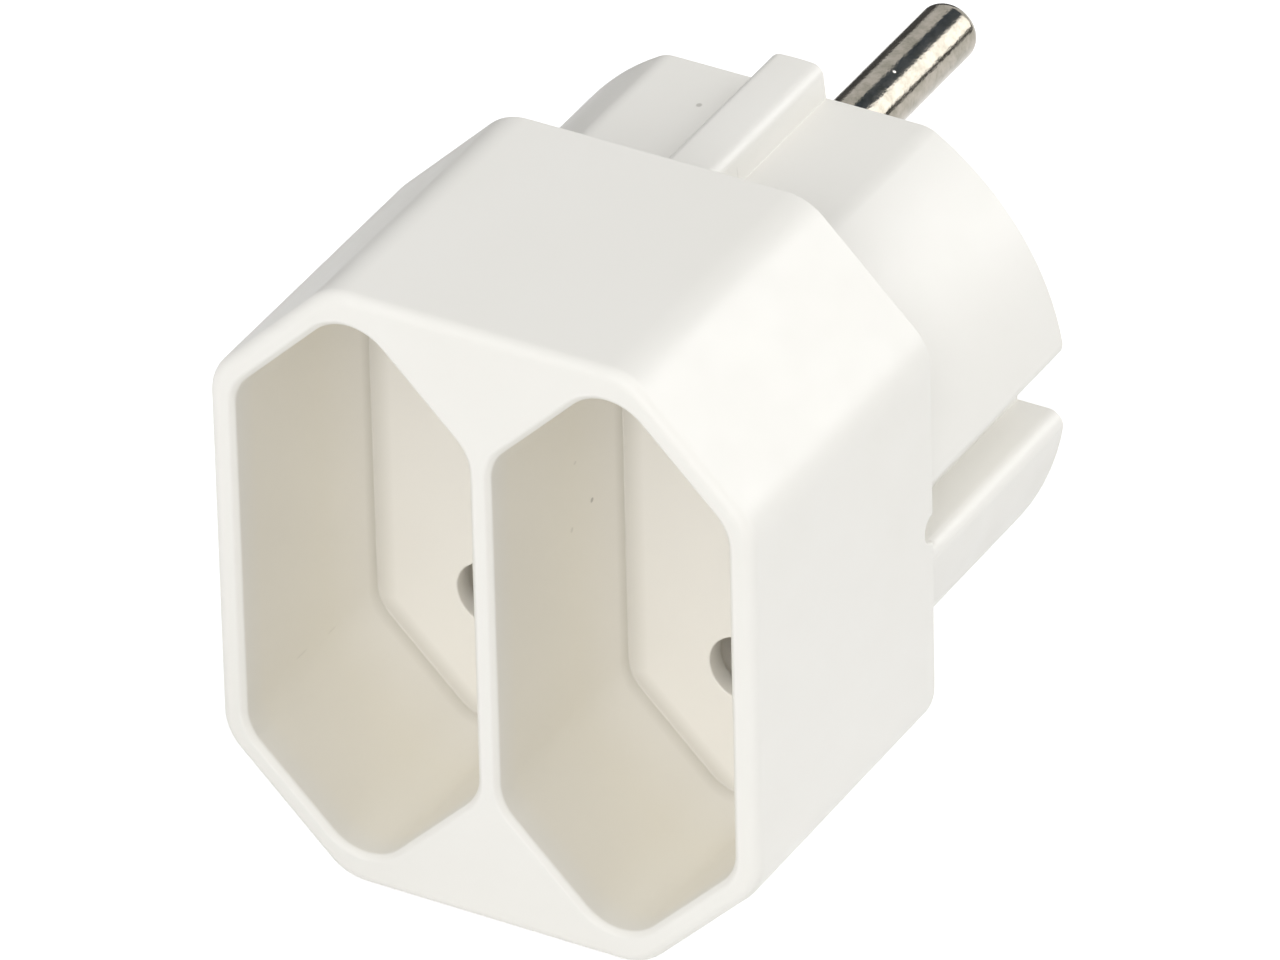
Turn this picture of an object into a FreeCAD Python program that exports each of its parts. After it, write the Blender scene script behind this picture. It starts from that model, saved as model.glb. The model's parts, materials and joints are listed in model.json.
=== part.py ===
# Two-way mains adapter: two long six-sided wells on a block in front,
# a round contour plug with two solid pins behind.
# The origin is the centre of the plug's face, where the pins come out.
# X runs to the right, Y along the pins, Z up. Sizes are in millimetres.
import FreeCAD
import Part
import math
import os

from FreeCAD import Vector

# Block with the wells
BLOCK_WIDTH = 37.0
BLOCK_HEIGHT = 42.3
BLOCK_DEPTH = 22.2
BLOCK_CHAMFER = 8.2
BLOCK_CORNER_RADIUS = 3.6
FRONT_EDGE_RADIUS = 0.8
CHAMBER_WALL = 2.1
REBATE_WALL = 1.3
CHAMBER_CORNER_RADIUS = 3.0

# Wells
WELL_PITCH = 17.5
WELL_WEB = 1.5
WELL_SIDE_WALL = 1.75
WELL_FLAT_SET_IN = 0.75
WELL_DEPTH = 15.8
WELL_DRAFT = 0.15
WELL_END_RADIUS = 3.2
WELL_SIDE_RADIUS = 3.0
WELL_LEAD_IN = 0.35
FLOOR_THICKNESS = 1.5
PIN_CENTRES = 19.0
SOCKET_HOLE_RADIUS = 2.25

# Contour plug
PLUG_LENGTH = 18.0
PLUG_SET_IN = 0.15
PLUG_WALL = 1.8
FACE_THICKNESS = 2.2
FLAT_SET_IN = 2.4
FLAT_CORNER_RADIUS = 2.0
RIB_FOOT_WIDTH = 4.15
RIB_TOP_WIDTH = 3.5
RIB_SET_IN = 0.1
EARTH_SLOT_WIDTH = 3.9
EARTH_SLOT_DEPTH = 3.4
SLOT_EDGE_RADIUS = 1.0
RIB_EDGE_RADIUS = 0.8
FACE_EDGE_CHAMFER = 0.6
FLANGE_THICKNESS = 1.8

# Snap latches between the two mouldings
LATCH_WIDTH = 6.0
LATCH_THICKNESS = 1.1
LATCH_REACH = 2.7
HOOK_HEIGHT = 0.5
HOOK_LENGTH = 1.0
RELEASE_NOTCH_RADIUS = 1.0
LATCH_NUB_RADIUS = 0.5
LATCH_NUB_LENGTH = 1.0

# Plug pins
PIN_RADIUS = 2.0
PIN_LENGTH = 19.3
PIN_TIP_RADIUS = 1.0
PIN_SEAT_RADIUS = 2.4
COLLAR_RADIUS = 3.1
COLLAR_THICKNESS = 0.6
SPIGOT_RADIUS = 1.3
SPIGOT_HEAD_RADIUS = 2.1
SPIGOT_HEAD_THICKNESS = 0.6

# Contacts
BUSBAR_THICKNESS = 0.8
BUSBAR_END_RADIUS = 2.6
CLIP_THICKNESS = 0.5
CLIP_WIDTH = 3.2
CLIP_BASE_GAP = 4.2
CLIP_NECK_GAP = 3.7
CLIP_MOUTH_GAP = 4.8
CLIP_NECK_FROM_MOUTH = 2.6
RIVET_RADIUS = 0.95
RIVET_HEAD_RADIUS = 1.6
RIVET_HEAD_THICKNESS = 0.4

# Contact carrier
CARRIER_PLATE = 1.5
CARRIER_RIM = 1.2
CARRIER_HOLE_RADIUS = 2.5
BARRIER_THICKNESS = 1.6
POST_HEIGHT = 4.0

# Clearances
SEAT_CLEARANCE = 0.05
SIDE_CLEARANCE = 0.12
PIN_CLEARANCE = 0.03
CLIP_MOUTH_CLEARANCE = 0.3
POST_CLEARANCE = 1.3

# Places along the plug axis
BACK_Y = -PLUG_LENGTH
FRONT_Y = BACK_Y - BLOCK_DEPTH
FLOOR_Y = FRONT_Y + WELL_DEPTH
CHAMBER_Y = FLOOR_Y + FLOOR_THICKNESS
FLANGE_Y = BACK_Y - FLANGE_THICKNESS
FACE_INSIDE_Y = -FACE_THICKNESS
BUSBAR_BACK_Y = FACE_INSIDE_Y - COLLAR_THICKNESS
BUSBAR_FRONT_Y = BUSBAR_BACK_Y - BUSBAR_THICKNESS
CLIP_BASE_Y = BUSBAR_FRONT_Y - CLIP_THICKNESS
CARRIER_BACK_Y = FLANGE_Y - SEAT_CLEARANCE
CARRIER_FRONT_Y = CHAMBER_Y + SEAT_CLEARANCE
CLIP_MOUTH_Y = CARRIER_BACK_Y + CLIP_MOUTH_CLEARANCE

# Places across the plug axis
SIDES = (-1, 1)
PIN_Z = PIN_CENTRES / 2
WELL_X = WELL_PITCH / 2
# A well is as wide as the web and the block's side wall leave it
WELL_WIDTH = min(WELL_PITCH - WELL_WEB, BLOCK_WIDTH - WELL_PITCH - 2 * WELL_SIDE_WALL)
WELL_FLAT_HEIGHT = BLOCK_HEIGHT - 2 * (BLOCK_CHAMFER + WELL_FLAT_SET_IN)
# The plug's round lines up with the block's sides, just inside them
PLUG_RADIUS = BLOCK_WIDTH / 2 - PLUG_SET_IN
FLAT_Z = PLUG_RADIUS - FLAT_SET_IN
SLOT_X = PLUG_RADIUS - EARTH_SLOT_DEPTH
CHAMBER_HALF_WIDTH = BLOCK_WIDTH / 2 - CHAMBER_WALL
FLANGE_HALF_WIDTH = BLOCK_WIDTH / 2 - REBATE_WALL - SIDE_CLEARANCE
LATCH_OUTSIDE_X = CHAMBER_HALF_WIDTH - SIDE_CLEARANCE
LATCH_INSIDE_X = LATCH_OUTSIDE_X - LATCH_THICKNESS
CLIP_SIDE_X = WELL_X - CLIP_MOUTH_GAP / 2 - CLIP_THICKNESS
# How near two places count as the same
NEAR = 0.01
# How far an edge may lean, as a share of its length, and still run along Y
STEEPEST_DRAFT = 0.05
# More than any size of the object, for cuts that run right through
BEYOND = 2 * (BLOCK_HEIGHT + PLUG_LENGTH)


def octagon(inset=0.0):
    """Corners of the block's outline, moved in by an even wall."""
    half_w = BLOCK_WIDTH / 2 - inset
    half_h = BLOCK_HEIGHT / 2 - inset
    cut = BLOCK_CHAMFER - inset * (2 - math.sqrt(2))
    return [
        (half_w, -half_h + cut),
        (half_w, half_h - cut),
        (half_w - cut, half_h),
        (-half_w + cut, half_h),
        (-half_w, half_h - cut),
        (-half_w, -half_h + cut),
        (-half_w + cut, -half_h),
        (half_w - cut, -half_h),
    ]


def hexagon(centre_x, inset=0.0):
    """Corners of a well with right-angled ends, moved in by an even draft."""
    half_w = WELL_WIDTH / 2 - inset
    flat = WELL_FLAT_HEIGHT / 2 - inset * (math.sqrt(2) - 1)
    apex = flat + half_w
    return [
        (centre_x + half_w, -flat),
        (centre_x + half_w, flat),
        (centre_x, apex),
        (centre_x - half_w, flat),
        (centre_x - half_w, -flat),
        (centre_x, -apex),
    ]


def rounded_wire(corners, radii, y):
    """Closed outline in the plane at y, with each corner rounded."""
    count = len(corners)
    starts = []
    ends = []
    arcs = []
    for i in range(count):
        here = Vector(corners[i][0], y, corners[i][1])
        before = Vector(corners[i - 1][0], y, corners[i - 1][1])
        after = Vector(corners[(i + 1) % count][0], y, corners[(i + 1) % count][1])
        to_before = (before - here).normalize()
        to_after = (after - here).normalize()
        half_angle = to_before.getAngle(to_after) / 2
        run = radii[i] / math.tan(half_angle)
        start = here + to_before * run
        end = here + to_after * run
        inward = (to_before + to_after).normalize()
        centre = here + inward * (radii[i] / math.sin(half_angle))
        middle = centre - inward * radii[i]
        starts.append(start)
        ends.append(end)
        arcs.append(Part.Arc(start, middle, end).toShape())
    edges = []
    for i in range(count):
        edges.append(arcs[i])
        edges.append(Part.makeLine(ends[i], starts[(i + 1) % count]))
    return Part.Wire(edges)


def prism(wire, depth):
    """Solid from an outline, pushed along Y."""
    return Part.Face(wire).extrude(Vector(0, depth, 0))


def flat_sided(front, front_y, back, back_y):
    """Solid with flat sides between two outlines that have as many corners."""
    near = [Vector(x, front_y, z) for x, z in front]
    far = [Vector(x, back_y, z) for x, z in back]
    outlines = [near, far]
    for i in range(len(near)):
        outlines.append([near[i - 1], near[i], far[i], far[i - 1]])
    faces = [Part.Face(Part.makePolygon(points + points[:1])) for points in outlines]
    solid = Part.Solid(Part.Shell(faces))
    if solid.Volume < 0:
        solid.reverse()
    return solid


def box(x0, x1, y0, y1, z0, z1):
    """Box between two corners."""
    return Part.makeBox(x1 - x0, y1 - y0, z1 - z0, Vector(x0, y0, z0))


def rod(radius, y0, y1, x=0.0, z=0.0):
    """Round bar along Y."""
    return Part.makeCylinder(radius, y1 - y0, Vector(x, y0, z), Vector(0, 1, 0))


def edges_in_plane(shape, y, keep):
    """Edges that lie in the plane at y and whose middle passes a test."""
    found = []
    for edge in shape.Edges:
        bounds = edge.BoundBox
        if abs(bounds.YMin - y) < NEAR and abs(bounds.YMax - y) < NEAR:
            if keep(edge.CenterOfMass):
                found.append(edge)
    return found


def edges_along_y(shape, keep):
    """Edges that run along Y, or nearly so, whose middle passes a test."""
    found = []
    for edge in shape.Edges:
        bounds = edge.BoundBox
        across = bounds.XLength + bounds.ZLength
        if across < bounds.YLength * STEEPEST_DRAFT:
            if keep(edge.CenterOfMass):
                found.append(edge)
    return found


def socket_places():
    """Centres of the four socket holes."""
    return [(sx * WELL_X, sz * PIN_Z) for sx in SIDES for sz in SIDES]


def block_body():
    """Block with soft corners and a rounded front rim."""
    corners = octagon()
    body = flat_sided(corners, FRONT_Y, corners, BACK_Y)
    body = body.makeFillet(BLOCK_CORNER_RADIUS, edges_along_y(body, lambda point: True))
    rim = edges_in_plane(body, FRONT_Y, lambda point: True)
    return body.makeFillet(FRONT_EDGE_RADIUS, rim)


def well(side):
    """Space of one well, which narrows a little towards its floor."""
    x = side * WELL_X
    space = flat_sided(hexagon(x), FRONT_Y, hexagon(x, WELL_DRAFT), FLOOR_Y)
    ends = edges_along_y(space, lambda p: abs(p.x - x) < NEAR)
    space = space.makeFillet(WELL_END_RADIUS, ends)
    sides = edges_along_y(space, lambda p: abs(p.x - x) > WELL_WIDTH / 2 - WELL_DRAFT)
    return space.makeFillet(WELL_SIDE_RADIUS, sides)


def front_housing():
    """Block moulding: two wells, their floors with pin holes, and an open back."""
    body = block_body()
    for side in SIDES:
        body = body.cut(well(side))
    lips = edges_in_plane(body, FRONT_Y, lambda p: in_well_outline(p))
    body = body.makeChamfer(WELL_LEAD_IN, lips)
    chamber_radii = [CHAMBER_CORNER_RADIUS] * 8
    chamber = rounded_wire(octagon(CHAMBER_WALL), chamber_radii, CHAMBER_Y)
    body = body.cut(prism(chamber, BACK_Y - CHAMBER_Y))
    rebate = rounded_wire(octagon(REBATE_WALL), chamber_radii, FLANGE_Y)
    body = body.cut(prism(rebate, FLANGE_THICKNESS))
    for x, z in socket_places():
        body = body.cut(rod(SOCKET_HOLE_RADIUS, FLOOR_Y, CHAMBER_Y, x, z))
    for side in SIDES:
        body = body.cut(hook_window(side))
        body = body.cut(release_notch(side))
    return body


def in_well_outline(point):
    """True for an edge of a well's mouth, false for the rim of the block."""
    across = abs(abs(point.x) - WELL_X)
    limit = WELL_WIDTH / 2 + NEAR
    end = WELL_FLAT_HEIGHT / 2 + WELL_WIDTH / 2 - across + NEAR
    return across < limit and abs(point.z) < end


def hook_window(side):
    """Recess in the chamber's side wall that a latch hook snaps into."""
    hook_end = FLANGE_Y - LATCH_REACH - SIDE_CLEARANCE
    near = CHAMBER_HALF_WIDTH - SIDE_CLEARANCE
    far = CHAMBER_HALF_WIDTH + HOOK_HEIGHT
    half = LATCH_WIDTH / 2 + SIDE_CLEARANCE
    window = box(near, far, hook_end, hook_end + HOOK_LENGTH + 2 * SIDE_CLEARANCE, -half, half)
    return window if side > 0 else window.mirror(Vector(0, 0, 0), Vector(1, 0, 0))


def release_notch(side):
    """Half-round notch in the block's rear edge over the middle of a latch."""
    radius = RELEASE_NOTCH_RADIUS
    place = Vector(side * FLANGE_HALF_WIDTH, BACK_Y, 0)
    return Part.makeCylinder(radius, BLOCK_WIDTH, place, Vector(side, 0, 0))


def contour(inset, y0, y1):
    """Solid of the plug's section, moved in by an even wall, without its ribs."""
    flat = FLAT_Z - inset
    slot_x = SLOT_X - inset
    slot_z = EARTH_SLOT_WIDTH / 2 + inset
    solid = rod(PLUG_RADIUS - inset, y0, y1)
    solid = solid.common(box(-BEYOND, BEYOND, y0, y1, -flat, flat))
    solid = solid.cut(box(slot_x, BEYOND, y0, y1, -slot_z, slot_z))
    return solid.cut(box(-BEYOND, -slot_x, y0, y1, -slot_z, slot_z))


def rib(side):
    """Long rib in the middle of a flat, which runs the length of the plug."""
    foot_z = FLAT_Z - PLUG_WALL / 2
    foot = RIB_FOOT_WIDTH / 2
    top = RIB_TOP_WIDTH / 2
    corners = [(-foot, foot_z), (foot, foot_z), (top, PLUG_RADIUS), (-top, PLUG_RADIUS)]
    points = [Vector(x, BACK_Y, side * z) for x, z in corners]
    blank = prism(Part.makePolygon(points + points[:1]), PLUG_LENGTH)
    return blank.common(rod(PLUG_RADIUS - RIB_SET_IN, BACK_Y, 0))


def plug_outside():
    """Outer form of the contour plug with its ribs and softened edges."""
    body = contour(0.0, BACK_Y, 0.0)
    for side in SIDES:
        body = body.fuse(rib(side))
    body = body.removeSplitter()
    flat_end = math.sqrt(PLUG_RADIUS ** 2 - FLAT_Z ** 2)
    long_edges = edges_along_y(body, lambda p: abs(p.z) > FLAT_Z + 1)
    body = body.makeFillet(RIB_EDGE_RADIUS, long_edges)
    slot_edges = edges_along_y(body, lambda p: abs(p.x) > SLOT_X + 1 and abs(p.z) < FLAT_Z / 2)
    body = body.makeFillet(SLOT_EDGE_RADIUS, slot_edges)
    corner_edges = edges_along_y(body, lambda p: abs(abs(p.x) - flat_end) < NEAR)
    body = body.makeFillet(FLAT_CORNER_RADIUS, corner_edges)
    face_edges = edges_in_plane(body, 0.0, lambda p: True)
    return body.makeChamfer(FACE_EDGE_CHAMFER, face_edges)


def latch(side):
    """Spring tongue with its foot in the flange and a hook that points outwards."""
    outer = LATCH_OUTSIDE_X
    end = FLANGE_Y - LATCH_REACH
    half = LATCH_WIDTH / 2
    tongue = box(LATCH_INSIDE_X, outer, end, FLANGE_Y, -half, half)
    foot = box(LATCH_INSIDE_X, FLANGE_HALF_WIDTH, FLANGE_Y, BACK_Y, -half, half)
    tip = outer + HOOK_HEIGHT
    catch = end + HOOK_LENGTH
    corners = [(outer, end), (tip, end + HOOK_LENGTH / 2), (tip, catch), (outer, catch)]
    points = [Vector(x, y, -half) for x, y in corners]
    hook = Part.Face(Part.makePolygon(points + points[:1])).extrude(Vector(0, 0, LATCH_WIDTH))
    solid = tongue.fuse([hook, foot]).removeSplitter()
    return solid if side > 0 else solid.mirror(Vector(0, 0, 0), Vector(1, 0, 0))


def latch_nub(side):
    """Small round nub on one rounded edge of the earth slot, against the block."""
    inside = PLUG_RADIUS - SLOT_EDGE_RADIUS
    round_z = EARTH_SLOT_WIDTH / 2 + SLOT_EDGE_RADIUS
    lean = SLOT_EDGE_RADIUS * math.sqrt(0.5)
    x = math.sqrt(inside ** 2 - round_z ** 2) + lean
    z = round_z - lean
    return rod(LATCH_NUB_RADIUS, BACK_Y, BACK_Y + LATCH_NUB_LENGTH, side * x, -side * z)


def plug_housing():
    """Hollow contour plug with a flange that closes the back of the block."""
    flange_radii = [CHAMBER_CORNER_RADIUS - SIDE_CLEARANCE] * 8
    flange = rounded_wire(octagon(REBATE_WALL + SIDE_CLEARANCE), flange_radii, FLANGE_Y)
    body = plug_outside().fuse(prism(flange, FLANGE_THICKNESS))
    for side in SIDES:
        body = body.fuse(latch_nub(side))
    body = body.cut(contour(PLUG_WALL, FLANGE_Y, FACE_INSIDE_Y))
    for side in SIDES:
        body = body.fuse(latch(side))
        body = body.cut(rod(PIN_SEAT_RADIUS + PIN_CLEARANCE, FACE_INSIDE_Y, 0, 0, side * PIN_Z))
    return body.removeSplitter()


def plug_pin(side):
    """Turned pin: rounded tip, wider seat in the plug's face, collar and riveted spigot."""
    head_y = BUSBAR_FRONT_Y - SPIGOT_HEAD_THICKNESS
    tip = PIN_TIP_RADIUS
    bend = tip * (1 - math.sqrt(0.5))
    centre = Vector(0, 0, side * PIN_Z)

    def at(radius, y):
        return centre + Vector(radius, y, 0)

    outline = [
        Part.makeLine(at(0, head_y), at(SPIGOT_HEAD_RADIUS, head_y)),
        Part.makeLine(at(SPIGOT_HEAD_RADIUS, head_y), at(SPIGOT_HEAD_RADIUS, BUSBAR_FRONT_Y)),
        Part.makeLine(at(SPIGOT_HEAD_RADIUS, BUSBAR_FRONT_Y), at(SPIGOT_RADIUS, BUSBAR_FRONT_Y)),
        Part.makeLine(at(SPIGOT_RADIUS, BUSBAR_FRONT_Y), at(SPIGOT_RADIUS, BUSBAR_BACK_Y)),
        Part.makeLine(at(SPIGOT_RADIUS, BUSBAR_BACK_Y), at(COLLAR_RADIUS, BUSBAR_BACK_Y)),
        Part.makeLine(at(COLLAR_RADIUS, BUSBAR_BACK_Y), at(COLLAR_RADIUS, FACE_INSIDE_Y)),
        Part.makeLine(at(COLLAR_RADIUS, FACE_INSIDE_Y), at(PIN_SEAT_RADIUS, FACE_INSIDE_Y)),
        Part.makeLine(at(PIN_SEAT_RADIUS, FACE_INSIDE_Y), at(PIN_SEAT_RADIUS, 0)),
        Part.makeLine(at(PIN_SEAT_RADIUS, 0), at(PIN_RADIUS, 0)),
        Part.makeLine(at(PIN_RADIUS, 0), at(PIN_RADIUS, PIN_LENGTH - tip)),
        Part.Arc(
            at(PIN_RADIUS, PIN_LENGTH - tip),
            at(PIN_RADIUS - bend, PIN_LENGTH - bend),
            at(PIN_RADIUS - tip, PIN_LENGTH),
        ).toShape(),
        Part.makeLine(at(PIN_RADIUS - tip, PIN_LENGTH), at(0, PIN_LENGTH)),
        Part.makeLine(at(0, PIN_LENGTH), at(0, head_y)),
    ]
    return Part.Face(Part.Wire(outline)).revolve(centre, Vector(0, 1, 0), 360)


def busbar(side):
    """Brass strip with round ends that joins a plug pin to its two clips."""
    z = side * PIN_Z
    radius = BUSBAR_END_RADIUS
    strip = box(-WELL_X, WELL_X, BUSBAR_FRONT_Y, BUSBAR_BACK_Y, z - radius, z + radius)
    for end in SIDES:
        strip = strip.fuse(rod(radius, BUSBAR_FRONT_Y, BUSBAR_BACK_Y, end * WELL_X, z))
    strip = strip.removeSplitter()
    hole = SPIGOT_RADIUS + PIN_CLEARANCE
    strip = strip.cut(rod(hole, BUSBAR_FRONT_Y, BUSBAR_BACK_Y, 0, z))
    for end in SIDES:
        hole = RIVET_RADIUS + PIN_CLEARANCE
        strip = strip.cut(rod(hole, BUSBAR_FRONT_Y, BUSBAR_BACK_Y, end * WELL_X, z))
    return strip


def contact_clip(x, z):
    """Folded spring strip whose two leaves grip a plug pin from either side."""
    neck_y = CLIP_MOUTH_Y + CLIP_NECK_FROM_MOUTH
    base = CLIP_BASE_GAP / 2
    neck = CLIP_NECK_GAP / 2
    mouth = CLIP_MOUTH_GAP / 2
    thick = CLIP_THICKNESS
    inside = [(base, CLIP_BASE_Y), (neck, neck_y), (mouth, CLIP_MOUTH_Y)]
    outside = [(mouth + thick, CLIP_MOUTH_Y), (neck + thick, neck_y), (base + thick, BUSBAR_FRONT_Y)]
    right = inside + outside
    left = [(-across, y) for across, y in reversed(right)]
    low_z = z - CLIP_WIDTH / 2
    points = [Vector(x + across, y, low_z) for across, y in right + left]
    blank = Part.Face(Part.makePolygon(points + points[:1])).extrude(Vector(0, 0, CLIP_WIDTH))
    hole = RIVET_RADIUS + PIN_CLEARANCE
    return blank.cut(rod(hole, CLIP_BASE_Y, BUSBAR_FRONT_Y, x, z))


def clip_rivet(x, z):
    """Rivet with its head on a clip's base, closed flush with the busbar's back."""
    front = CLIP_BASE_Y - RIVET_HEAD_THICKNESS
    head = rod(RIVET_HEAD_RADIUS, front, CLIP_BASE_Y, x, z)
    rivet = head.fuse(rod(RIVET_RADIUS, front, BUSBAR_BACK_Y, x, z))
    return rivet.removeSplitter()


def post(x, z, start_y):
    """Post that stands on the plate between a plug pin and a clip, up to the busbar."""
    near = SPIGOT_HEAD_RADIUS + POST_CLEARANCE
    far = CLIP_SIDE_X - SEAT_CLEARANCE
    half = POST_HEIGHT / 2
    solid = box(near, far, start_y, BUSBAR_FRONT_Y - SEAT_CLEARANCE, z - half, z + half)
    return solid if x > 0 else solid.mirror(Vector(0, 0, 0), Vector(1, 0, 0))


def contact_carrier():
    """Insulating insert: a rimmed plate behind the floors, a barrier between the poles, and posts."""
    radii = [CHAMBER_CORNER_RADIUS - SIDE_CLEARANCE] * 8
    outline = octagon(CHAMBER_WALL + SIDE_CLEARANCE)
    body = prism(rounded_wire(outline, radii, CARRIER_FRONT_Y), CARRIER_BACK_Y - CARRIER_FRONT_Y)
    plate_back_y = CARRIER_FRONT_Y + CARRIER_PLATE
    tray_outline = octagon(CHAMBER_WALL + SIDE_CLEARANCE + CARRIER_RIM)
    tray_radii = [CHAMBER_CORNER_RADIUS - CARRIER_RIM] * 8
    tray = prism(rounded_wire(tray_outline, tray_radii, plate_back_y), CARRIER_BACK_Y - plate_back_y)
    body = body.cut(tray)
    half = BARRIER_THICKNESS / 2
    barrier_half_width = min(SLOT_X - PLUG_WALL, LATCH_INSIDE_X) - SIDE_CLEARANCE
    barrier_end = FACE_INSIDE_Y - SEAT_CLEARANCE
    body = body.fuse(box(-barrier_half_width, barrier_half_width, plate_back_y, barrier_end, -half, half))
    for x, z in socket_places():
        body = body.fuse(post(x, z, plate_back_y))
    body = body.removeSplitter()
    for x, z in socket_places():
        body = body.cut(rod(CARRIER_HOLE_RADIUS, CARRIER_FRONT_Y, plate_back_y, x, z))
    room = LATCH_WIDTH / 2 + 2 * SIDE_CLEARANCE
    inner = LATCH_INSIDE_X - 2 * SIDE_CLEARANCE
    body = body.cut(box(inner, BEYOND, CARRIER_FRONT_Y, CARRIER_BACK_Y, -room, room))
    return body.cut(box(-BEYOND, -inner, CARRIER_FRONT_Y, CARRIER_BACK_Y, -room, room))


def save(name, shape):
    """Write one sub-part as a STEP file."""
    shape.exportStep(os.path.join("parts", name + ".step"))


def main():
    os.makedirs("parts", exist_ok=True)
    save("front_housing", front_housing())
    save("plug_housing", plug_housing())
    save("contact_carrier", contact_carrier())
    rivets = []
    for level, side in (("upper", 1), ("lower", -1)):
        save("plug_pin_" + level, plug_pin(side))
        save("busbar_" + level, busbar(side))
        for hand, across in (("left", -1), ("right", 1)):
            x = across * WELL_X
            z = side * PIN_Z
            save("contact_clip_" + level + "_" + hand, contact_clip(x, z))
            rivets.append(clip_rivet(x, z))
    save("clip_rivets", Part.makeCompound(rivets))


main()
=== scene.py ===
import json
import math

import bpy
from mathutils import Matrix, Vector


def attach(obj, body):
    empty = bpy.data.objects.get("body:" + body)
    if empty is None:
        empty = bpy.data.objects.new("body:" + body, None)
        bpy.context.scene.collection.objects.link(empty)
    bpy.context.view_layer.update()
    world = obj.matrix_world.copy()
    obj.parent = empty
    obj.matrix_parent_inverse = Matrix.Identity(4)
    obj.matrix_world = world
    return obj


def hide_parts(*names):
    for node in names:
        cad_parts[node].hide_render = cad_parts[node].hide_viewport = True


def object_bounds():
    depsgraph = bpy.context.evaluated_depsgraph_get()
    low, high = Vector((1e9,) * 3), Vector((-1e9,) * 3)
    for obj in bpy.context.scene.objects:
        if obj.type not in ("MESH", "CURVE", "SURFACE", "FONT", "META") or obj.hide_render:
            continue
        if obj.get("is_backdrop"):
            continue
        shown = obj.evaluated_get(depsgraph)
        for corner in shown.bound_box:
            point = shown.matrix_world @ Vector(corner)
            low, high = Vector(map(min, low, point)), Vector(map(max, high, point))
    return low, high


bl_info = {
    "name": "Mains adapter looks",
    "version": (1, 0, 0),
    "blender": (4, 5, 0),
    "location": "3D View > Sidebar > Adapter",
    "description": "Finishes the housings, pins and contacts of a two-way mains adapter",
    "category": "Object",
}

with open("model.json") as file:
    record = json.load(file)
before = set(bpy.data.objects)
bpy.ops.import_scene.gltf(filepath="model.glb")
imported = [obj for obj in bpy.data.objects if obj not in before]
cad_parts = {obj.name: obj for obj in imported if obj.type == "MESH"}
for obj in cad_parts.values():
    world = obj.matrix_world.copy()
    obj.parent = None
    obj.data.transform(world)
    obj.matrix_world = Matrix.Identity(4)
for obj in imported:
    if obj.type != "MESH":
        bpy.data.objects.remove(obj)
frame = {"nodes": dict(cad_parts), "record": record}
NODES = frame["nodes"]
CAD_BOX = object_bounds()

MOUNTS = {mount["name"]: mount for mount in frame["record"]["mounts"]}

MM = 0.001

# The photograph's view: the point looked at, how far away, and the turn of the camera.
VIEW_TARGET = Vector((5.835, -31.104, 7.289)) * MM
VIEW_DISTANCE = 985.0 * MM
VIEW_AZIMUTH = math.radians(29.8446)
VIEW_ELEVATION = math.radians(33.4388)
VIEW_ROLL = math.radians(-1.3876)
VIEW_LENS = 466.14
SENSOR_WIDTH = 36.0

# The wells, as their own walls bound them: half the way between the middles of the two wells,
# the front rim, half the width of one, and how far its slanting corners reach.
WELL_X = MOUNTS["well_floor_right"]["pos_m"][0]
RIM_Y = CAD_BOX[0].y
FLOOR_Y = MOUNTS["well_floor_right"]["pos_m"][1]
WELL_HALF_WIDTH = 8.4 * MM
WELL_SLANT = 20.6 * MM

# The wells' painted warm bounce light sets in over these lengths at a wall, at a slanting wall
# and below the rim, and it ends between these two depths behind the floor.
WALL_BLEND = 0.2 * MM
SLANT_BLEND = 0.3 * MM
RIM_BLEND = 2.5 * MM
BEHIND_FLOOR = (1.5 * MM, 1.0 * MM)

# The floors' paler painted light fades out over this length up the walls.
FLOOR_BLEND = 6.0 * MM

# The painted shade in the corners round the floors: the lengths from a wall and from a slanting
# wall between which it grows full, its height above the floor, its colour as a part of the walls'
# warm colour, and how much of it shows.
WALL_CORNER = (1.9 * MM, 0.7 * MM)
SLANT_CORNER = (2.4 * MM, 1.0 * MM)
FLOOR_CORNER = 1.1 * MM
PAINTED_CORNER_SHADE = 0.72
PAINTED_SHADE_STRENGTH = 0.6

# Small marks in the white plastic: middle and half size along each axis, both in millimetres,
# and how dark.
MARKS = (
    ((-4.48, -4.84, 15.95), (0.22, 0.26, 0.20), 0.45),
    ((1.90, -11.60, 16.70), (0.30, 0.10, 0.55), 0.10),
    ((0.86, -28.27, 2.68), (0.20, 0.22, 0.20), 0.50),
    ((0.85, -30.14, 6.43), (0.15, 0.20, 0.15), 0.16),
    ((0.84, -30.71, 1.96), (0.20, 0.20, 0.22), 0.18),
    ((-16.69, -33.44, -10.79), (0.20, 0.80, 0.10), 0.10),
    ((-16.64, -29.91, -11.14), (0.20, 0.60, 0.09), 0.09),
)

# Part of a mark's size, and of a speck's, that has its full colour.
MARK_CORE = 0.55
SPECK_CORE = 0.6

# A nick in the upper pin's plating, whose pale colour is a painted glint, and the middle of that
# pin.
NICK_AND_GLINT = Vector((0.70, 10.35, 11.37)) * MM
NICK_AND_GLINT_RADIUS = 0.125 * MM
PAINTED_GLINT_COLOUR = (0.85, 0.84, 0.82, 1)
PIN_MIDDLE = Vector(MOUNTS["plug_pin_upper"]["pos_m"])

# Looks of the hidden pieces: the carrier's plastic and the oxide on the contacts.
CARRIER_COLOUR = (0.92, 0.89, 0.82, 1)
CARRIER_CLOUDS = (0.90, 0.87, 0.80, 1)
CARRIER_SPECKS = (0.3, 0.26, 0.2, 1)
CARRIER_GLOSS = (0.45, 0.6)
BRASS_OXIDE = (0.50, 0.36, 0.18, 1)
BRONZE_OXIDE = (0.42, 0.26, 0.15, 1)

# Corners of loose triangles that are nearer than this are one.
WELD_DISTANCE = 0.002 * MM
# Triangles that lie in one plane to within this angle become one face again.
PLANE_ANGLE = math.radians(0.6)
# Flat facets of one CAD surface meet at less than this angle, real edges at more.
FACET_ANGLE = math.radians(24)
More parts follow.
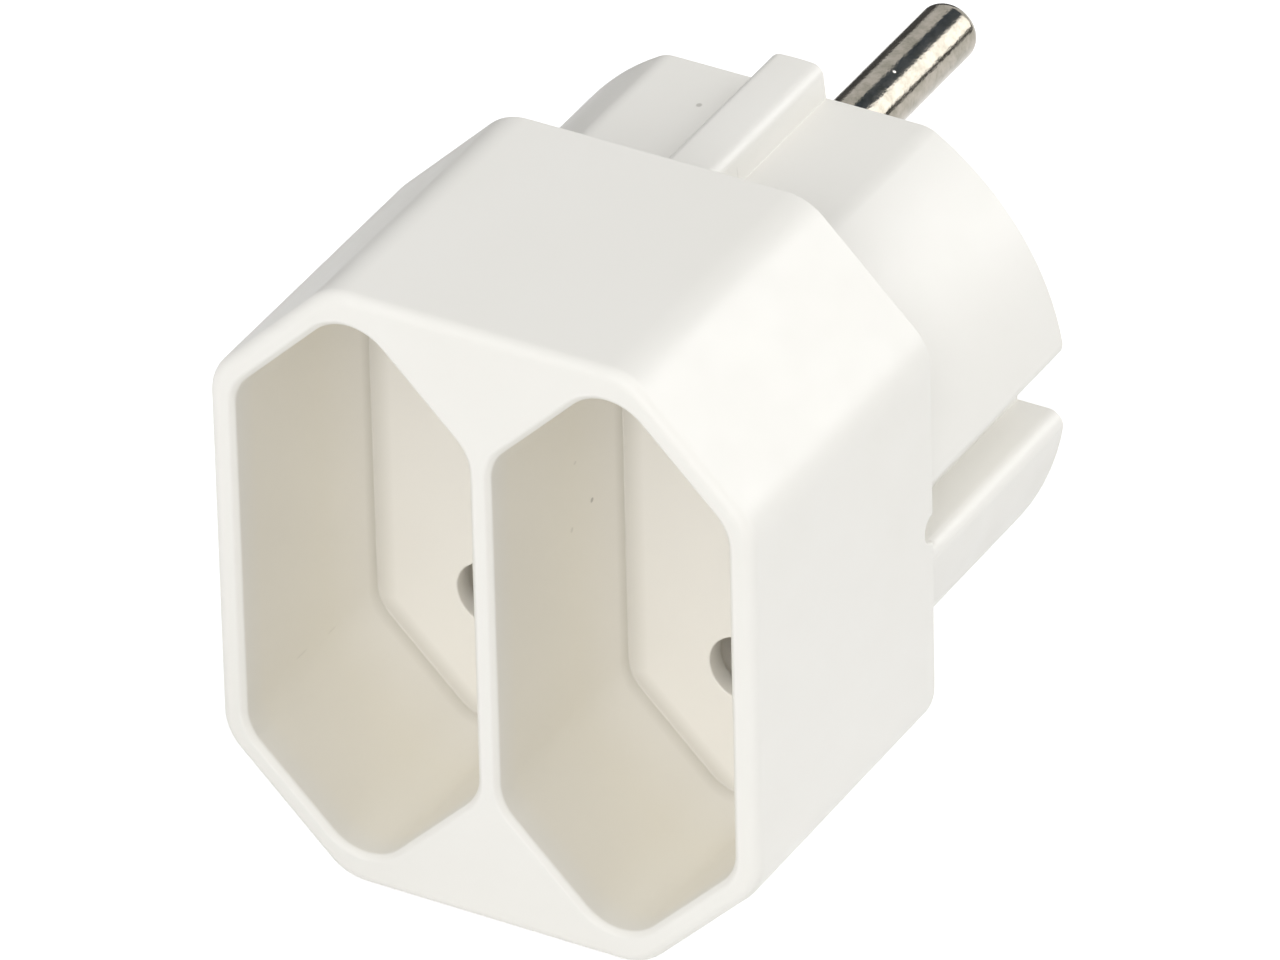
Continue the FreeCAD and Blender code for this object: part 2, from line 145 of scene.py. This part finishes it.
# The strips of a softened edge meet at up to 30 degrees and are shaded as one round.
EDGE_STRIPS = 3
ROUND_ANGLE = math.radians(32)

# Gap between the lowest point of the object and the floor, and the darker of its two tones.
FLOOR_GAP = 0.1 * MM
FLOOR_TONE = 0.985

# Lamps: degrees to the right of the wells' front, degrees up, and the side of the square.
LAMPS = {
    "front": (-2, 33, 1.1),
    "low": (27, 15, 0.6),
    "side": (125, 41, 1.1),
    "left": (-70, 40, 0.7),
}
LAMP_DISTANCE = 1.0

# Cards that the pins mirror: degrees to the right, degrees up and distance, all seen from the
# upper pin, then width, height, strength and colour.
CARDS = {
    "dark_card_above": (172, 43, 0.7, 0.38, 0.34, 0.10, (0.36, 0.63, 1, 1)),
    "bright_card_right": (140, 19, 0.75, 0.44, 0.44, 2.9, (1, 1, 1, 1)),
    "dark_card_right": (136.5, -1, 0.2, 0.16, 0.035, 0.05, (1, 1, 1, 1)),
    "dark_card_left": (223, 0, 0.1, 0.12, 0.058, 0.05, (1, 1, 1, 1)),
}


class AdapterPlastic(bpy.types.PropertyGroup):
    """Colours and surface of the two white mouldings."""

    colour: bpy.props.FloatVectorProperty(
        name="White", description="Main colour of the moulded plastic",
        subtype="COLOR", size=4, min=0, max=1, default=(0.88, 0.866, 0.822, 1))
    # Painted warm bounce light: the walls deep in the wells are given this warmer colour.
    painted_bounce: bpy.props.FloatVectorProperty(
        name="Cream", description="Warmer colour of the walls deep in the wells",
        subtype="COLOR", size=4, min=0, max=1, default=(0.896, 0.862, 0.774, 1))
    # Painted light: the floors of the wells and the low walls are given this paler colour, as if
    # lit more.
    painted_floor_light: bpy.props.FloatVectorProperty(
        name="Well floor", description="Paler colour of the floors of the wells",
        subtype="COLOR", size=4, min=0, max=1, default=(0.895, 0.872, 0.822, 1))
    shade: bpy.props.FloatVectorProperty(
        name="Cloudy white", description="Colour of the faint clouds in the plastic",
        subtype="COLOR", size=4, min=0, max=1, default=(0.865, 0.85, 0.80, 1))
    speck: bpy.props.FloatVectorProperty(
        name="Speck", description="Colour of the few specks caught in the plastic",
        subtype="COLOR", size=4, min=0, max=1, default=(0.22, 0.20, 0.16, 1))
    gloss_low: bpy.props.FloatProperty(
        name="Smoothest", description="Roughness where the mould was polished most",
        subtype="FACTOR", min=0, max=1, default=0.36)
    gloss_high: bpy.props.FloatProperty(
        name="Dullest", description="Roughness where the mould was polished least",
        subtype="FACTOR", min=0, max=1, default=0.5)
    edge: bpy.props.FloatProperty(
        name="Edge softness", description="Width of the round on the edges of the block",
        subtype="DISTANCE", unit="LENGTH", min=0, max=0.001, default=0.16 * MM)
    plug_edge: bpy.props.FloatProperty(
        name="Plug edge softness", description="Width of the round on the edges of the plug",
        subtype="DISTANCE", unit="LENGTH", min=0, max=0.001, default=0.26 * MM)


class AdapterMetal(bpy.types.PropertyGroup):
    """Colours of the pins and of the contacts inside."""

    nickel: bpy.props.FloatVectorProperty(
        name="Nickel", description="Clean plated surface of the pins",
        subtype="COLOR", size=4, min=0, max=1, default=(0.39, 0.357, 0.305, 1))
    tarnish: bpy.props.FloatVectorProperty(
        name="Tarnish", description="Dull streaks and spots on the pins",
        subtype="COLOR", size=4, min=0, max=1, default=(0.245, 0.232, 0.185, 1))
    brass: bpy.props.FloatVectorProperty(
        name="Brass", description="Busbars and rivets",
        subtype="COLOR", size=4, min=0, max=1, default=(0.78, 0.62, 0.32, 1))
    bronze: bpy.props.FloatVectorProperty(
        name="Bronze", description="Folded contact clips",
        subtype="COLOR", size=4, min=0, max=1, default=(0.74, 0.50, 0.30, 1))
    edge: bpy.props.FloatProperty(
        name="Edge softness", description="Width of the round on a turned edge",
        subtype="DISTANCE", unit="LENGTH", min=0, max=0.001, default=0.08 * MM)


class AdapterStage(bpy.types.PropertyGroup):
    """Floor, lamps and background."""

    floor: bpy.props.FloatVectorProperty(
        name="Floor", description="Colour of the floor",
        subtype="COLOR", size=4, min=0, max=1, default=(0.82, 0.82, 0.82, 1))
    floor_size: bpy.props.FloatProperty(
        name="Floor size", description="Width of the square floor",
        subtype="DISTANCE", unit="LENGTH", min=0.5, max=4, default=2.6)
    front: bpy.props.FloatProperty(
        name="Front lamp", description="Power of the large soft lamp in front of the wells",
        subtype="POWER", unit="POWER", min=0, max=50, default=6.1)
    low: bpy.props.FloatProperty(
        name="Low lamp", description="Power of the low soft lamp that reaches into the wells",
        subtype="POWER", unit="POWER", min=0, max=50, default=1.8)
    side: bpy.props.FloatProperty(
        name="Side lamp", description="Power of the soft lamp behind on the right",
        subtype="POWER", unit="POWER", min=0, max=50, default=6.7)
    left: bpy.props.FloatProperty(
        name="Left lamp", description="Power of the weak soft lamp on the left",
        subtype="POWER", unit="POWER", min=0, max=50, default=0.9)
    room: bpy.props.FloatProperty(
        name="Room light", description="Light that comes evenly from all round",
        min=0, max=2, default=0.22)
    floor_lift: bpy.props.FloatProperty(
        name="Floor white", description="How much whiter the floor looks than it is lit",
        min=0, max=1, default=0.62)


def settings(name):
    """One of the scene's own groups of values."""
    return getattr(bpy.context.scene, "adapter_" + name)


def select_only(obj):
    """Leave one object selected and active."""
    bpy.ops.object.select_all(action="DESELECT")
    obj.select_set(True)
    bpy.context.view_layer.objects.active = obj


# Materials

# Places of a Mix node's two colours and of its result among its sockets.
MIX_FIRST, MIX_SECOND, MIX_RESULT = 6, 7, 2


def new_material(name):
    """New material, its node tree and its one shader."""
    material = bpy.data.materials.new(name)
    material.use_nodes = True
    tree = material.node_tree
    shader = tree.nodes["Principled BSDF"]
    return material, tree, shader


def add_node(tree, kind, values=None, **fields):
    """Add a node, set its fields and fill or link its inputs."""
    node = tree.nodes.new("ShaderNode" + kind)
    for field, value in fields.items():
        setattr(node, field, value)
    for socket, value in (values or {}).items():
        if isinstance(value, bpy.types.NodeSocket):
            tree.links.new(value, node.inputs[socket])
        else:
            node.inputs[socket].default_value = value
    return node


def object_coordinates(tree, scale=(1, 1, 1), shift=(0, 0, 0)):
    """The object's own coordinates in metres, stretched or moved."""
    source = add_node(tree, "TexCoord")
    values = {"Vector": source.outputs["Object"], "Scale": scale, "Location": shift}
    return add_node(tree, "Mapping", values).outputs["Vector"]


def noise(tree, vector, per_metre, detail, roughness=0.5):
    """Soft noise with so many features to the metre."""
    values = {"Vector": vector, "Scale": per_metre, "Detail": detail, "Roughness": roughness}
    return add_node(tree, "TexNoise", values).outputs["Fac"]


def spread(tree, value, low, high, to_low=0.0, to_high=1.0):
    """Stretch part of a value's range onto another range."""
    values = {"Value": value, "From Min": low, "From Max": high}
    values.update({"To Min": to_low, "To Max": to_high})
    return add_node(tree, "MapRange", values).outputs["Result"]


def mixed(tree, factor, first, second):
    """Blend of two colours."""
    node = add_node(tree, "Mix", {"Factor": factor}, data_type="RGBA")
    for socket, value in ((MIX_FIRST, first), (MIX_SECOND, second)):
        if isinstance(value, bpy.types.NodeSocket):
            tree.links.new(value, node.inputs[socket])
        else:
            node.inputs[socket].default_value = value
    return node.outputs[MIX_RESULT]


def math_of(tree, operation, first, second=0.0, clamp=False):
    """Result of one sum, product or other step of arithmetic."""
    node = add_node(
        tree, "Math", {0: first, 1: second}, operation=operation, use_clamp=clamp)
    return node.outputs[0]


def product(tree, first, second):
    """One value times another."""
    return math_of(tree, "MULTIPLY", first, second)


def specks(tree, vector, per_metre, radius, rarity):
    """Small round dots, one in some of the cells of a Voronoi pattern."""
    cells = add_node(tree, "TexVoronoi", {"Vector": vector, "Scale": per_metre}).outputs
    size = radius * per_metre
    near = spread(tree, cells["Distance"], size, size * SPECK_CORE)
    chosen = spread(tree, cells["Color"], rarity, rarity + 0.01)
    return product(tree, near, chosen)


def one_mark(tree, middle, half_size):
    """1 in a small soft-edged ellipsoid, 0 outside it."""
    scale = [1 / half for half in half_size]
    shift = [-place / half for place, half in zip(middle, half_size)]
    near = add_node(
        tree, "VectorMath", {0: object_coordinates(tree, scale, shift)}, operation="LENGTH")
    return spread(tree, near.outputs["Value"], 1.0, MARK_CORE)


def raised(tree, height, strength, distance, under=None):
    """Normal of a surface with relief, over finer relief where some is given."""
    values = {"Height": height, "Strength": strength, "Distance": distance}
    if under is not None:
        values["Normal"] = under
    return add_node(tree, "Bump", values).outputs["Normal"]


def finish_shader(tree, shader, colour, roughness, normal):
    """Link the three patterns that every finish has."""
    for socket, value in (("Base Color", colour), ("Roughness", roughness), ("Normal", normal)):
        tree.links.new(value, shader.inputs[socket])


def well_masks(tree, place):
    """Masks for painted light and shade: inside the wells, near their floors, and the corners
    there.
    """
    axes = add_node(tree, "SeparateXYZ", {0: place}).outputs
    beside = math_of(tree, "SUBTRACT", math_of(tree, "ABSOLUTE", axes["X"]), WELL_X)
    beside = math_of(tree, "ABSOLUTE", beside)
    slant = math_of(tree, "ADD", beside, math_of(tree, "ABSOLUTE", axes["Z"]))
    within = product(
        tree,
        spread(tree, beside, WELL_HALF_WIDTH, WELL_HALF_WIDTH - WALL_BLEND),
        spread(tree, slant, WELL_SLANT, WELL_SLANT - SLANT_BLEND))
    below_rim = product(
        tree,
        spread(tree, axes["Y"], RIM_Y, RIM_Y + RIM_BLEND),
        spread(tree, axes["Y"], *(FLOOR_Y + depth for depth in BEHIND_FLOOR)))
    inside = product(tree, within, below_rim)
    # Where the walls meet the floors: the place of the painted corner shade.
    near_wall = math_of(
        tree, "MAXIMUM",
        spread(tree, beside, *(WELL_HALF_WIDTH - length for length in WALL_CORNER)),
        spread(tree, slant, *(WELL_SLANT - length for length in SLANT_CORNER)))
    at_floor = spread(tree, axes["Y"], FLOOR_Y - FLOOR_CORNER, FLOOR_Y)
    corners = product(tree, inside, product(tree, near_wall, at_floor))
    near_floor = spread(tree, axes["Y"], FLOOR_Y - FLOOR_BLEND, FLOOR_Y)
    return inside, product(tree, inside, near_floor), corners


def painted_well_light(tree, place, colour, painted_bounce, painted_floor_light):
    """Block colour with painted light in the wells: warm bounce on walls, paler floors, shade in
    corners.
    """
    inside, near_floor, corners = well_masks(tree, place)
    # Painted warm bounce light on the walls inside the wells.
    colour = mixed(tree, inside, colour, painted_bounce)
    # Paler painted light on the floors and up the low walls.
    colour = mixed(tree, near_floor, colour, painted_floor_light)
    # Painted shade in the corners where the walls meet the floors.
    shadowed = [channel * PAINTED_CORNER_SHADE for channel in painted_bounce[:3]] + [1]
    return mixed(tree, product(tree, corners, PAINTED_SHADE_STRENGTH), colour, shadowed)


def marked(tree, colour, speck):
    """Colour with the small marks over it."""
    for middle, half_size, darkness in MARKS:
        mark = one_mark(tree, [v * MM for v in middle], [v * MM for v in half_size])
        colour = mixed(tree, product(tree, mark, darkness), colour, speck)
    return colour


def moulded_plastic(name, white, cloudy, speck, smooth, dull, painted_bounce=None, painted_floor_light=None):
    """Satin injection-moulded plastic: faint clouds, fine grain and a few specks."""
    material, tree, shader = new_material(name)
    place = object_coordinates(tree)
    clouds = spread(tree, noise(tree, place, per_metre=55, detail=3), low=0.35, high=0.7)
    colour = mixed(tree, clouds, white, cloudy)
    # Painted light and shade in the wells, then the small marks.
    if painted_bounce is not None:
        colour = painted_well_light(tree, place, colour, painted_bounce, painted_floor_light)
        colour = marked(tree, colour, speck)
    dots = specks(tree, place, per_metre=130, radius=0.11 * MM, rarity=0.8)
    colour = mixed(tree, dots, colour, speck)
    polish = noise(tree, place, per_metre=420, detail=4, roughness=0.6)
    rough = spread(tree, polish, low=0.3, high=0.7, to_low=smooth, to_high=dull)
    grain = noise(tree, place, per_metre=5200, detail=2)
    flow = noise(tree, place, per_metre=90, detail=1)
    fine = raised(tree, grain, strength=0.10, distance=0.01 * MM)
    wide = raised(tree, flow, strength=0.12, distance=0.3 * MM, under=fine)
    finish_shader(tree, shader, colour, rough, wide)
    return material


def drawn_nickel(nickel, tarnish):
    """Nickel on a drawn pin: lengthwise streaks, dull patches and dark spots."""
    material, tree, shader = new_material("drawn_nickel")
    shader.inputs["Metallic"].default_value = 1.0
    place = object_coordinates(tree)
    along = object_coordinates(tree, scale=(1, 0.16, 1))
    streaks = noise(tree, along, per_metre=2600, detail=3, roughness=0.6)
    patches = noise(tree, place, per_metre=900, detail=5, roughness=0.7)
    dull = product(tree, spread(tree, patches, low=0.42, high=0.66), 0.8)
    colour = mixed(tree, dull, nickel, tarnish)
    spots = specks(tree, place, per_metre=1300, radius=0.09 * MM, rarity=0.66)
    colour = mixed(tree, product(tree, spots, 0.7), colour, tarnish)
    nick_and_glint = one_mark(tree, NICK_AND_GLINT, [NICK_AND_GLINT_RADIUS] * 3)
    # Painted glint: the nick is given a pale colour far brighter than the nickel round it.
    colour = mixed(tree, nick_and_glint, colour, PAINTED_GLINT_COLOUR)
    rough = spread(tree, streaks, low=0.25, high=0.75, to_low=0.10, to_high=0.20)
    rough = math_of(tree, "MAXIMUM", rough, product(tree, nick_and_glint, 0.7))
    stretched = object_coordinates(tree, scale=(1, 0.7, 1))
    pitted = noise(tree, stretched, per_metre=4200, detail=2, roughness=0.55)
    fine = raised(tree, pitted, strength=1.0, distance=0.013 * MM)
    dented = raised(tree, nick_and_glint, strength=0.5, distance=0.04 * MM, under=fine)
    finish_shader(tree, shader, colour, rough, dented)
    return material


def stamped_metal(name, clean, oxide):
    """Rolled strip: fine rolling lines and a thin uneven oxide."""
    material, tree, shader = new_material(name)
    shader.inputs["Metallic"].default_value = 1.0
    place = object_coordinates(tree)
    rolled = object_coordinates(tree, scale=(0.05, 1, 1))
    lines = noise(tree, rolled, per_metre=2400, detail=2)
    patches = spread(tree, noise(tree, place, per_metre=240, detail=4), low=0.4, high=0.75)
    colour = mixed(tree, patches, clean, oxide)
    rough = spread(tree, lines, low=0.2, high=0.8, to_low=0.24, to_high=0.42)
    fine = raised(tree, lines, strength=0.2, distance=0.01 * MM)
    finish_shader(tree, shader, colour, rough, fine)
    return material


# Pieces


def merged_copy(node, name):
    """Copy of a CAD node with its loose triangles joined into whole faces."""
    copy = bpy.data.objects.new(name, node.data.copy())
    bpy.context.scene.collection.objects.link(copy)
    select_only(copy)
    bpy.ops.mesh.customdata_custom_splitnormals_clear()
    bpy.ops.object.mode_set(mode="EDIT")
    bpy.ops.mesh.select_all(action="SELECT")
    bpy.ops.mesh.remove_doubles(threshold=WELD_DISTANCE)
    bpy.ops.mesh.dissolve_limited(angle_limit=PLANE_ANGLE)
    bpy.ops.object.mode_set(mode="OBJECT")
    return copy


def soften_edges(obj, width):
    """Round every real edge a little, shade the facets smooth and the flats flat."""
    select_only(obj)
    bevel = obj.modifiers.new("edges", "BEVEL")
    bevel.limit_method = "ANGLE"
    bevel.angle_limit = FACET_ANGLE
    bevel.width = width
    bevel.segments = EDGE_STRIPS
    bevel.use_clamp_overlap = True
    bpy.ops.object.modifier_apply(modifier=bevel.name)
    bpy.ops.object.shade_smooth_by_angle(angle=ROUND_ANGLE)
    normals = obj.modifiers.new("normals", "WEIGHTED_NORMAL")
    normals.mode = "FACE_AREA"
    normals.keep_sharp = True
    bpy.ops.object.modifier_apply(modifier=normals.name)


def dress(obj, material):
    """Give an object one material all over."""
    obj.data.materials.clear()
    obj.data.materials.append(material)
    for face in obj.data.polygons:
        face.material_index = 0


def finished_copy(node_name, piece_name, width, material):
    """Softened stand-in for one CAD node."""
    piece = merged_copy(NODES[node_name], piece_name)
    soften_edges(piece, width)
    dress(piece, material)
    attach(piece, "root")
    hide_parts(node_name)


class ADAPTER_OT_housings(bpy.types.Operator):
    """Soften and finish the block with its wells and the contour plug"""

    bl_idname = "adapter.housings"
    bl_label = "Housings"

    def execute(self, context):
        look = settings("plastic")
        white = moulded_plastic(
            "moulded_white", look.colour, look.shade, look.speck, look.gloss_low, look.gloss_high,
            look.painted_bounce, look.painted_floor_light)
        for node_name, width in (("front_housing", look.edge), ("plug_housing", look.plug_edge)):
            finished_copy(node_name, node_name + "_moulding", width, white)
        return {"FINISHED"}


class ADAPTER_OT_pins(bpy.types.Operator):
    """Soften and plate the two plug pins"""

    bl_idname = "adapter.pins"
    bl_label = "Plug pins"

    def execute(self, context):
        look = settings("metal")
        nickel = drawn_nickel(look.nickel, look.tarnish)
        for level in ("upper", "lower"):
            finished_copy(
                "plug_pin_" + level, "turned_pin_" + level, look.edge, nickel)
        return {"FINISHED"}


class ADAPTER_OT_contacts(bpy.types.Operator):
    """Finish the carrier, busbars, clips and rivets inside"""

    bl_idname = "adapter.contacts"
    bl_label = "Contacts and carrier"

    def execute(self, context):
        look = settings("metal")
        brass = stamped_metal("stamped_brass", look.brass, BRASS_OXIDE)
        bronze = stamped_metal("spring_bronze", look.bronze, BRONZE_OXIDE)
        carrier = moulded_plastic(
            "carrier_cream", CARRIER_COLOUR, CARRIER_CLOUDS, CARRIER_SPECKS, *CARRIER_GLOSS)
        dress(NODES["contact_carrier"], carrier)
        dress(NODES["clip_rivets"], brass)
        for level in ("upper", "lower"):
            dress(NODES["busbar_" + level], brass)
            for hand in ("left", "right"):
                dress(NODES["contact_clip_" + level + "_" + hand], bronze)
        return {"FINISHED"}


# Stage


def seen_directly(tree):
    """1 for what the camera, a reflection or a clear material sees, else 0."""
    path = add_node(tree, "LightPath").outputs
    both = math_of(tree, "ADD", path["Is Camera Ray"], path["Is Glossy Ray"])
    return math_of(tree, "ADD", both, path["Is Transmission Ray"], clamp=True)


def add_floor(look):
    """Pale floor just under the block, which keeps the object's shadow."""
    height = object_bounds()[0].z - FLOOR_GAP
    bpy.ops.mesh.primitive_plane_add(size=look.floor_size, location=(0, 0, height))
    floor = bpy.context.object
    floor.name = "floor"
    material, tree, shader = new_material("pale_floor")
    place = object_coordinates(tree)
    paper = spread(tree, noise(tree, place, per_metre=900, detail=2), low=0.3, high=0.7)
    darker = [channel * FLOOR_TONE for channel in look.floor[:3]] + [1]
    tree.links.new(mixed(tree, paper, look.floor, darker), shader.inputs["Base Color"])
    shader.inputs["Roughness"].default_value = 0.9
    shader.inputs["Specular IOR Level"].default_value = 0.0
    shader.inputs["Emission Color"].default_value = (1, 1, 1, 1)
    lift = product(tree, seen_directly(tree), look.floor_lift)
    tree.links.new(lift, shader.inputs["Emission Strength"])
    dress(floor, material)
    floor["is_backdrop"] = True


def add_world(look):
    """Even room light, with a white background behind everything."""
    world = bpy.data.worlds.new("studio")
    bpy.context.scene.world = world
    world.use_nodes = True
    tree = world.node_tree
    room = tree.nodes["Background"]
    room.inputs["Color"].default_value = (1, 1, 1, 1)
    room.inputs["Strength"].default_value = look.room
    white = add_node(tree, "Background", {"Color": (1, 1, 1, 1), "Strength": 1.0})
    mix = add_node(
        tree, "MixShader", {0: seen_directly(tree), 1: room.outputs[0], 2: white.outputs[0]})
    tree.links.new(mix.outputs[0], tree.nodes["World Output"].inputs["Surface"])


def out_there(right, up, distance, middle):
    """Point at a distance, by its degrees to the right of the wells' front and its degrees up."""
    turn, rise = math.radians(right), math.radians(up)
    way = Vector((
        math.sin(turn) * math.cos(rise), -math.cos(turn) * math.cos(rise), math.sin(rise)))
    return middle + way * distance


def facing(place, middle):
    """Turn that points a lamp or card at one place towards another."""
    return (place - middle).to_track_quat("Z", "Y").to_euler()


def add_lamp(name, place, size, power):
    """Soft square lamp that points at the object."""
    bpy.ops.object.light_add(type="AREA", location=place)
    lamp = bpy.context.object
    lamp.name = name
    lamp.data.size = size
    lamp.data.energy = power
    lamp.rotation_euler = facing(place, VIEW_TARGET)


def add_card(name, place, width, height, level, colour):
    """Card that only shows as a reflection in the pins."""
    bpy.ops.mesh.primitive_plane_add(size=1, location=place)
    card = bpy.context.object
    card.name = name
    card.scale = (width, height, 1)
    card.rotation_euler = facing(place, PIN_MIDDLE)
    material, _, shader = new_material(name)
    shader.inputs["Base Color"].default_value = (0, 0, 0, 1)
    shader.inputs["Emission Color"].default_value = colour
    shader.inputs["Emission Strength"].default_value = level
    dress(card, material)
    card.visible_camera = False
    card.visible_diffuse = False
    card.visible_shadow = False
    card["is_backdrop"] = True


def add_camera():
    """Camera at the photograph's angle."""
    right = Vector((math.cos(VIEW_AZIMUTH), math.sin(VIEW_AZIMUTH), 0))
    back = Vector((
        math.sin(VIEW_AZIMUTH) * math.cos(VIEW_ELEVATION),
        -math.cos(VIEW_AZIMUTH) * math.cos(VIEW_ELEVATION),
        math.sin(VIEW_ELEVATION)))
    up = back.cross(right)
    turned_right = right * math.cos(VIEW_ROLL) + up * math.sin(VIEW_ROLL)
    turned_up = back.cross(turned_right)
    turn = Matrix((turned_right, turned_up, back)).transposed()
    bpy.ops.object.camera_add(
        location=VIEW_TARGET + back * VIEW_DISTANCE, rotation=turn.to_euler())
    camera = bpy.context.object
    camera.name = "camera"
    camera.data.lens = VIEW_LENS
    camera.data.sensor_width = SENSOR_WIDTH
    bpy.context.scene.camera = camera


class ADAPTER_OT_stage(bpy.types.Operator):
    """Set up the floor, the lamps, the white background and the camera"""

    bl_idname = "adapter.stage"
    bl_label = "Stage"

    def execute(self, context):
        look = settings("stage")
        context.scene.view_settings.view_transform = "Standard"
        add_floor(look)
        add_world(look)
        for side, (right, up, size) in LAMPS.items():
            place = out_there(right, up, LAMP_DISTANCE, VIEW_TARGET)
            add_lamp(side + "_lamp", place, size, getattr(look, side))
        for name, (right, up, distance, *card) in CARDS.items():
            add_card(name, out_there(right, up, distance, PIN_MIDDLE), *card)
        add_camera()
        return {"FINISHED"}


class ADAPTER_PT_panel(bpy.types.Panel):
    """Lists the steps that build the adapter's looks"""

    bl_idname = "ADAPTER_PT_panel"
    bl_label = "Mains adapter"
    bl_space_type = "VIEW_3D"
    bl_region_type = "UI"
    bl_category = "Adapter"

    def draw(self, context):
        for group, operators in (
            ("plastic", (ADAPTER_OT_housings,)),
            ("metal", (ADAPTER_OT_pins, ADAPTER_OT_contacts)),
            ("stage", (ADAPTER_OT_stage,)),
        ):
            values = settings(group)
            box = self.layout.box()
            for field in values.bl_rna.properties:
                if not field.is_readonly and field.identifier != "name":
                    box.prop(values, field.identifier)
            for operator in operators:
                box.operator(operator.bl_idname)


CLASSES = (
    AdapterPlastic,
    AdapterMetal,
    AdapterStage,
    ADAPTER_OT_housings,
    ADAPTER_OT_pins,
    ADAPTER_OT_contacts,
    ADAPTER_OT_stage,
    ADAPTER_PT_panel,
)


def register():
    """Make the operators, the panel and the three groups of values known."""
    for cls in CLASSES:
        bpy.utils.register_class(cls)
    bpy.types.Scene.adapter_plastic = bpy.props.PointerProperty(type=AdapterPlastic)
    bpy.types.Scene.adapter_metal = bpy.props.PointerProperty(type=AdapterMetal)
    bpy.types.Scene.adapter_stage = bpy.props.PointerProperty(type=AdapterStage)


def unregister():
    """Take away what register added."""
    del bpy.types.Scene.adapter_stage
    del bpy.types.Scene.adapter_metal
    del bpy.types.Scene.adapter_plastic
    for cls in reversed(CLASSES):
        bpy.utils.unregister_class(cls)


def main():
    """Build the looks and the stage."""
    register()
    bpy.ops.adapter.housings()
    bpy.ops.adapter.pins()
    bpy.ops.adapter.contacts()
    bpy.ops.adapter.stage()


if __name__ == "__main__":
    main()
